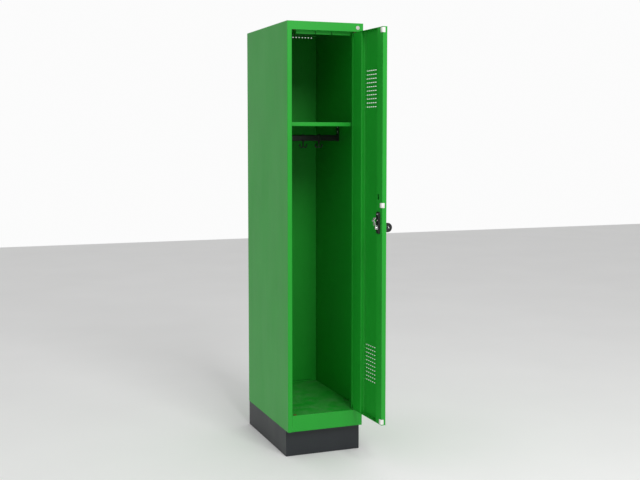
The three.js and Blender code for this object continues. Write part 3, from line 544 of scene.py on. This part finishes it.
def lock_rosette():
    """A turned rosette with a rounded rim, a groove and a neck through the door's skin."""
    depth = ROSETTE_HIGH.y - ROSETTE_LOW.y
    radius = (ROSETTE_HIGH.x - ROSETTE_LOW.x) / 2
    neck = circle(9.2 * MM)
    rim = depth - 4 * MM
    levels = [(circle(BORE_RADIUS), 0), (neck, 0), (neck, rim), (circle(radius - 0.3 * MM), rim)]
    for share in range(5):
        angle = math.pi / 2 * share / 4
        inset = 2.2 * MM * (1 - math.cos(angle))
        levels.append((circle(radius - inset), rim + 1.4 * MM + 2.2 * MM * math.sin(angle)))
    levels += [(circle(radius - 3.0 * MM), depth - 0.9 * MM), (circle(radius - 3.8 * MM), depth - 0.9 * MM)]
    levels += [(circle(radius - 4.2 * MM), depth), (circle(BORE_RADIUS), depth)]
    shape = bmesh.new()
    add_levels(shape, levels, on_lock(ROSETTE_HIGH.y, OUTWARD), closed=True, count=96)
    piece("lock_rosette_turned", shape, "door", "black_plastic", ("lock_rosette",))


def lock_knob():
    """A round base with an upright round tab, pierced by a slanting eye for a padlock."""
    low, high = inside_box("lock_knob", DOOR)
    radius = (high.z - low.z) / 2
    base = 5 * MM
    reach = high.y - low.y
    half = 4.5 * MM
    shape = bmesh.new()
    add_levels(shape, softened(circle(radius), 0, base, 1.6 * MM, 4), on_lock(high.y, OUTWARD), count=96)
    eye_depth = reach - 12 * MM
    eye = rounded_rectangle(-2.3 * MM, 2.3 * MM, -6 * MM, 6 * MM, 2.29 * MM)
    lean = Matrix.Rotation(math.radians(35), 2)
    eye = [lean @ point for point in eye]
    centre = reach - radius - eye_depth
    foot = 0.5 * MM - eye_depth
    nose = arc_points((centre, 0), radius, -90, 90, 32)
    tab = [Vector((foot, -radius))] + nose + [Vector((foot, radius))]
    rim = 0.9 * MM
    levels = softened(tab, -half, half, 1.5 * MM, 4)
    levels += [(grown(eye, rim), half), (eye, half - rim), (eye, rim - half), (grown(eye, rim), -half)]
    add_levels(shape, levels, on_lock(high.y - eye_depth, FIN_SIDE), closed=True, count=144)
    mould(piece("lock_knob_grip", shape, "lock", "black_plastic", ("lock_knob",)), 0.4 * MM)


def lock_spindle():
    """A round spindle with a chamfered outer end and a threaded inner end."""
    low, high = inside_box("lock_spindle", DOOR)
    length = high.y - low.y
    radius = (high.z - low.z) / 2
    thread, pitch = 9 * MM, 1 * MM
    shoulder = length - thread
    levels = [(circle(radius - 0.4 * MM), 0), (circle(radius), 0.4 * MM), (circle(radius), shoulder)]
    for turn in range(round(thread / pitch) - 1):
        height = shoulder + turn * pitch
        levels.append((circle(radius - 0.5 * MM), height + pitch * 0.35))
        levels.append((circle(radius), height + pitch * 0.85))
    levels.append((circle(radius - 0.6 * MM), length))
    shape = bmesh.new()
    add_levels(shape, levels, on_lock(low.y, INWARD), count=48)
    piece("lock_spindle_threaded", shape, "lock", "zinc", ("lock_spindle",))


def lock_cam():
    """A bent strip with a round foot under the nut."""
    low, high = inside_box("lock_cam", DOOR)
    thickness, edge = 2.4 * MM, 0.35 * MM
    shoulder, bend, nose, step = 10 * MM, 21 * MM, 27 * MM, 9 * MM
    top = high.z - LOCK_Z - 0.6 * MM
    shape = bmesh.new()
    foot = circle((high.x - low.x) / 2)
    add_pierced(shape, foot, circle(4.8 * MM), 0, thickness, edge, on_lock(low.y, INWARD))
    out = step + nose - bend
    bends = [(0, 7 * MM), (0, shoulder), (step, shoulder), (step, bend)]
    bends += [(out, nose), (out - top + nose, top)]
    place = DOOR @ Matrix.Translation((LOCK_X, low.y, LOCK_Z)) @ ALONG_X
    add_strip(shape, rounded_path(bends, 2.4 * MM), -thickness, 5 * MM, place, edge)
    piece("lock_cam_bent", shape, "lock", "zinc", ("lock_cam",))


def add_nut(shape, across, height, bore, place):
    """A six-sided nut with turned chamfers."""
    six = hexagon(across)
    chamfer = height * 0.14
    turned = circle(across / 2 * 0.97)
    levels = [(circle(bore), 0), (turned, 0), (six, chamfer), (six, height - chamfer), (turned, height)]
    levels += [(circle(bore + 0.4 * MM), height), (circle(bore), height - 0.4 * MM)]
    add_levels(shape, levels, place, closed=True)


def cam_nut():
    low, high = inside_box("cam_nut", DOOR)
    shape = bmesh.new()
    add_nut(shape, high.x - low.x, high.y - low.y, 4.7 * MM, on_lock(low.y, INWARD))
    piece("cam_nut_chamfered", shape, "lock", "zinc", ("cam_nut",))


lock_case()
lock_rosette()
lock_knob()
lock_spindle()
lock_cam()
cam_nut()


# ---------------------------------------------------------------- door and frame fittings


def buffer(node):
    """A crowned pad with a shallow ring, a stem in the door and a thin tongue over its edge."""
    low, high = inside_box(node, DOOR)
    stem_x = DOOR_LOW.x + BUFFER_STEM_FROM_EDGE
    centre_x, centre_z = (low.x + high.x) / 2, (low.z + high.z) / 2
    half = ((high.x - low.x) / 2, (high.z - low.z) / 2)
    proud = 3.6 * MM
    outline = rounded_rectangle(-half[0], half[0], -half[1], half[1], 2.4 * MM)
    levels = softened(outline, 0, proud - 0.3 * MM, 1.0 * MM, 4)
    levels += [(grown(outline, -2.6 * MM), proud - 0.3 * MM), (grown(outline, -2.9 * MM), proud - 0.8 * MM)]
    levels += [(grown(outline, -3.5 * MM), proud - 0.8 * MM), (grown(outline, -3.9 * MM), proud - 0.2 * MM)]
    levels += [(grown(outline, -5.5 * MM), proud)]
    face = high.y - proud
    shape = bmesh.new()
    add_levels(shape, levels, DOOR @ Matrix.Translation((centre_x, face, centre_z)) @ INWARD, count=96)
    stem = circle(2.7 * MM)
    plug = [(grown(stem, -0.6 * MM), 0), (stem, 0.8 * MM)]
    plug += [(stem, 6 * MM), (grown(stem, -0.2 * MM), 6.8 * MM)]
    add_levels(shape, plug, DOOR @ Matrix.Translation((stem_x, face - 6 * MM, centre_z)) @ INWARD, count=48)
    tongue, thin, overlap = 9.5 * MM, 0.6 * MM, 9 * MM
    side = rounded_rectangle(-tongue / 2, tongue / 2, -half[1], half[1], 1.6 * MM)
    place = DOOR @ Matrix.Translation((low.x, face - overlap + tongue / 2, centre_z)) @ ALONG_X
    add_levels(shape, softened(side, 0, thin, 0.2 * MM), place, count=96)
    piece(node + "_pad", shape, "door", "white_plastic", (node,))


def pivot_pin(node, facing, outer_end):
    """A turned pin with a chamfered nose and a collar."""
    low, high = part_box(node)
    centre = (low + high) / 2
    length = high.z - low.z
    radius, collar = 3 * MM, (high.x - low.x) / 2
    tail = 10 * MM
    levels = [(circle(radius - 0.7 * MM), 0), (circle(radius), 0.7 * MM), (circle(radius), tail)]
    levels += [(circle(collar - 0.4 * MM), tail), (circle(collar), tail + 0.4 * MM)]
    levels += [(circle(collar), tail + 2.6 * MM), (circle(collar - 0.4 * MM), tail + 3 * MM)]
    levels += [(circle(radius), tail + 3 * MM), (circle(radius), length - 1.2 * MM)]
    levels += [(circle(radius - 1 * MM), length)]
    shape = bmesh.new()
    add_levels(shape, levels, Matrix.Translation((centre.x, centre.y, outer_end)) @ facing, count=48)
    piece(node + "_turned", shape, "door", "zinc", (node,))


def pivot_bush(node, facing, flange_face, flange_height):
    """A flanged bush with rounded rims and a chamfered bore."""
    low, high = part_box(node)
    centre = (low + high) / 2
    length = high.z - low.z
    flange, collar, bore = (high.x - low.x) / 2, 4.7 * MM, 3.25 * MM
    levels = [(circle(bore + 0.4 * MM), 0)] + softened(circle(flange), 0, flange_height, 0.4 * MM)
    levels += [(circle(collar), flange_height), (circle(collar), length - 0.7 * MM)]
    levels += [(circle(collar - 0.7 * MM), length), (circle(bore), length), (circle(bore), 0.4 * MM)]
    shape = bmesh.new()
    place = Matrix.Translation((centre.x, centre.y, flange_face)) @ facing
    add_levels(shape, levels, place, closed=True, count=48)
    piece(node + "_flanged", shape, "cabinet", "brown_plastic", (node,))


def frame_cap():
    """A round cap with a raised rim and a slightly sunk middle."""
    low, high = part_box("frame_cap")
    centre = (low + high) / 2
    length, radius = high.y - low.y, (high.x - low.x) / 2
    stem, proud = circle(4.4 * MM), 1.4 * MM
    rim = length - proud
    levels = [(grown(stem, -0.8 * MM), 0), (stem, 1 * MM), (stem, rim)]
    levels += softened(circle(radius), rim, length, 0.6 * MM, 3)
    levels += [(circle(radius - 1.9 * MM), length), (circle(radius - 2.4 * MM), length - 0.6 * MM)]
    levels += [(circle(radius - 4.5 * MM), length - 0.5 * MM)]
    shape = bmesh.new()
    place = Matrix.Translation((centre.x, high.y, centre.z)) @ OUTWARD
    add_levels(shape, levels, place, count=72)
    piece("frame_cap_rimmed", shape, "cabinet", "grey_plastic", ("frame_cap",))


def weld_seams():
    """Ground-flush weld fillers over the seams between the posts and the frame's rails."""
    width, depth, proud = 1.3 * MM, 0.7 * MM, 0.06 * MM
    rail_low, rail_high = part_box("floor_panel")
    roof_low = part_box("roof_panel")[0]
    left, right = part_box("side_panel_left")[0].x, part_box("side_panel_right")[1].x
    top_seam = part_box("roof_panel")[1].z - TOP_RAIL_HEIGHT
    shape = bmesh.new()
    spans = []
    for sign, edge in ((1, left), (-1, right)):
        seam = edge + sign * POST_WIDTH
        spans.append((seam - width / 2, seam + width / 2, rail_low.z + 1.5 * MM, rail_high.z - 1.5 * MM))
        ends = sorted((edge + sign * 1.2 * MM, seam - sign * 0.8 * MM))
        spans.append((*ends, top_seam - width / 2 - 0.15 * MM, top_seam + width / 2 - 0.15 * MM))
    for x0, x1, z0, z1 in spans:
        centre = Vector(((x0 + x1) / 2, roof_low.y + depth - proud, (z0 + z1) / 2))
        half = ((x1 - x0) / 2, (z1 - z0) / 2)
        outline = rounded_rectangle(-half[0], half[0], -half[1], half[1], width / 2.1)
        place = Matrix.Translation(centre) @ OUTWARD
        add_levels(shape, softened(outline, 0, depth, 0.1 * MM), place, count=192)
    piece("frame_weld_seams", shape, "cabinet", "green_paint")


def spare_plugs():
    """Brown plugs that close the spare pivot holes on the side without a hinge."""
    past_rail, head_room = 5 * MM, 1.6 * MM
    for end, facing in (("top", UPWARD), ("bottom", DOWNWARD)):
        low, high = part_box("pivot_bush_" + end)
        centre = (low + high) / 2
        rail = high.z - past_rail if end == "top" else low.z + past_rail
        start = rail - head_room if end == "top" else rail + head_room
        head, stem = circle(6.5 * MM), circle(4.6 * MM)
        levels = softened(head, 0, 1.3 * MM, 0.5 * MM)
        levels += [(stem, 1.3 * MM), (stem, 5 * MM), (grown(stem, -0.8 * MM), 5.8 * MM)]
        shape = bmesh.new()
        add_levels(shape, levels, Matrix.Translation((-centre.x, centre.y, start)) @ facing, count=48)
        piece("spare_hole_plug_" + end, shape, "cabinet", "brown_plastic")


for name in ("buffer_bottom", "buffer_middle", "buffer_top"):
    buffer(name)
pivot_pin("pivot_pin_top", UPWARD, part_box("pivot_pin_top")[0].z)
pivot_pin("pivot_pin_bottom", DOWNWARD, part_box("pivot_pin_bottom")[1].z)
pivot_bush("pivot_bush_top", UPWARD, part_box("pivot_bush_top")[0].z, TOP_BUSH_FLANGE)
pivot_bush("pivot_bush_bottom", DOWNWARD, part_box("pivot_bush_bottom")[1].z, BOTTOM_BUSH_FLANGE)
frame_cap()
weld_seams()
spare_plugs()


# ---------------------------------------------------------------- coat rail and hooks


def coat_rail():
    """A flat bar with round edges and softened ends."""
    low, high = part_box("coat_rail")
    centre = (low + high) / 2
    half = ((high.y - low.y) / 2, (high.z - low.z) / 2)
    outline = rounded_rectangle(-half[0], half[0], -half[1], half[1], 4 * MM)
    length = high.x - low.x
    shape = bmesh.new()
    place = Matrix.Translation((low.x, centre.y, centre.z)) @ ALONG_X
    add_levels(shape, softened(outline, 0, length, 0.8 * MM, 4), place, count=96)
    piece("coat_rail_bar", shape, "cabinet", "black_plastic", ("coat_rail",))


def coat_hook(side):
    """A sliding collar with a double prong, moulded in one."""
    node = "coat_hook_" + side
    low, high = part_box(node)
    rail_low, rail_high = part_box("coat_rail")
    rail = (rail_low + rail_high) / 2
    x = (low.x + high.x) / 2
    gap = 0.3 * MM
    half = ((rail_high.y - rail_low.y) / 2 + gap, (rail_high.z - rail_low.z) / 2 + gap)
    wall = high.z - rail.z - half[1]
    collar_width = 9 * MM
    bore = rounded_rectangle(-half[0], half[0], -half[1], half[1], 4 * MM)
    outer = rounded_rectangle(-half[0] - wall, half[0] + wall, -half[1] - wall, half[1] + wall, 5 * MM)
    shape = bmesh.new()
    place = Matrix.Translation((x, rail.y, rail.z)) @ ALONG_X
    add_pierced(shape, outer, bore, -collar_width / 2, collar_width / 2, 0.9 * MM, place, count=96)
    arm, prong, steps = 2.4 * MM, 7 * MM, 12
    bend = low.z + arm + prong
    add_sweep(shape, [(x, rail.y, rail.z - half[1] - wall / 2), (x, rail.y, bend)], 2.8 * MM, WORLD)
    for sign in (-1, 1):
        path = []
        for step in range(steps + 1):
            angle = math.pi * step / steps
            path.append((x + sign * prong * (1 - math.cos(angle)), rail.y, bend - prong * math.sin(angle)))
        path.append((x + sign * prong * 2, rail.y, bend + 3 * MM))
        add_sweep(shape, path, arm, WORLD)
        tip = Vector(path[-1])
        add_sweep(shape, [tip, tip + Vector((0, 0, 0.4 * MM))], 3.1 * MM, WORLD)
    mould(piece(node + "_moulding", shape, "hook_" + side, "black_plastic", (node,)), 0.5 * MM)


def bracket_rivets():
    """Two domed rivets in each bracket's wall leg, between the shelf and the rail."""
    leg, radius = 2 * MM, 3.4 * MM
    shape = bmesh.new()
    for side, heading in (("left", 1), ("right", -1)):
        low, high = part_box("rail_bracket_" + side)
        face = low.x + leg if heading > 0 else high.x - leg
        facing = ALONG_X if heading > 0 else FIN_SIDE
        for share in (0.55, 0.8):
            z = low.z + (high.z - low.z) * share
            place = Matrix.Translation((face, (low.y + high.y) / 2, z)) @ facing
            levels = [(circle(radius), -0.2 * MM), (circle(radius), 0.3 * MM)]
            levels += [(circle(radius * 0.85), 1 * MM), (circle(radius * 0.5), 1.5 * MM)]
            add_levels(shape, levels + [(circle(radius * 0.1), 1.65 * MM)], place, count=32)
    piece("bracket_rivets", shape, "cabinet", "zinc")


coat_rail()
for side in ("left", "middle", "right"):
    coat_hook(side)
bracket_rivets()


# ---------------------------------------------------------------- plinth bolts


def plinth_bolt(index):
    """A hexagon bolt with a chamfered head and a threaded end, and its nut."""
    low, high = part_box(f"plinth_bolt_{index}")
    centre = (low + high) / 2
    across, head, length = high.x - low.x, 5.3 * MM, high.z - low.z
    across *= math.cos(math.pi / 6) if across > high.y - low.y else 1
    shank, pitch = 3.9 * MM, 1.25 * MM
    six = hexagon(across)
    levels = [(circle(across * 0.48), 0), (six, 0.8 * MM), (six, head), (circle(shank), head)]
    start = head + 3 * MM
    levels.append((circle(shank), start))
    for turn in range(int((length - start) / pitch)):
        levels.append((circle(shank - 0.5 * MM), start + (turn + 0.4) * pitch))
        levels.append((circle(shank), start + (turn + 0.9) * pitch))
    levels.append((circle(shank - 0.7 * MM), length))
    shape = bmesh.new()
    add_levels(shape, levels, Matrix.Translation((centre.x, centre.y, low.z)))
    piece(f"plinth_bolt_{index}_threaded", shape, "cabinet", "zinc", (f"plinth_bolt_{index}",))
    nut_low, nut_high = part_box(f"plinth_nut_{index}")
    shape = bmesh.new()
    place = Matrix.Translation((centre.x, centre.y, nut_low.z))
    add_nut(shape, across, nut_high.z - nut_low.z, shank + 0.3 * MM, place)
    piece(f"plinth_nut_{index}_chamfered", shape, "cabinet", "zinc", (f"plinth_nut_{index}",))


for index in range(1, 5):
    plinth_bolt(index)


# ---------------------------------------------------------------- studio


def floor():
    shape = bmesh.new()
    bmesh.ops.create_grid(shape, x_segments=8, y_segments=8, size=FLOOR_HALF)
    mesh = bpy.data.meshes.new("studio_floor")
    shape.to_mesh(mesh)
    shape.free()
    made = bpy.data.objects.new("studio_floor", mesh)
    bpy.context.scene.collection.objects.link(made)
    mesh.materials.append(studio_floor("studio_floor"))


def softbox(name, place, target, size, power):
    data = bpy.data.lights.new(name, "AREA")
    data.shape = "RECTANGLE"
    data.size, data.size_y = size
    data.energy = power
    made = bpy.data.objects.new(name, data)
    bpy.context.scene.collection.objects.link(made)
    made.location = place
    made.rotation_euler = (Vector(target) - Vector(place)).to_track_quat("-Z", "Y").to_euler()


def studio():
    scene = bpy.context.scene
    scene.view_settings.view_transform = "Standard"
    world = bpy.data.worlds.new("studio_white")
    world.use_nodes = True
    tree = world.node_tree
    background = tree.nodes["Background"]
    background.inputs["Color"].default_value = (1.0, 1.0, 1.0, 1.0)
    seen = tree.nodes.new("ShaderNodeLightPath").outputs["Is Camera Ray"]
    strength = tree.nodes.new("ShaderNodeMapRange")
    tree.links.new(seen, strength.inputs["Value"])
    strength.inputs["To Min"].default_value = AMBIENT
    strength.inputs["To Max"].default_value = BACKDROP
    tree.links.new(strength.outputs["Result"], background.inputs["Strength"])
    scene.world = world
    softbox("key", KEY_PLACE, KEY_TARGET, KEY_SIZE, KEY_POWER)


def camera():
    data = bpy.data.cameras.new("camera")
    data.lens = CAMERA_LENS
    data.shift_y = CAMERA_SHIFT_Y
    made = bpy.data.objects.new("camera", data)
    bpy.context.scene.collection.objects.link(made)
    made.location = CAMERA_PLACE
    made.rotation_euler = (math.radians(90 - CAMERA_PITCH_DEG), 0, math.radians(-CAMERA_YAW_DEG))
    bpy.context.scene.camera = made


floor()
studio()
camera()
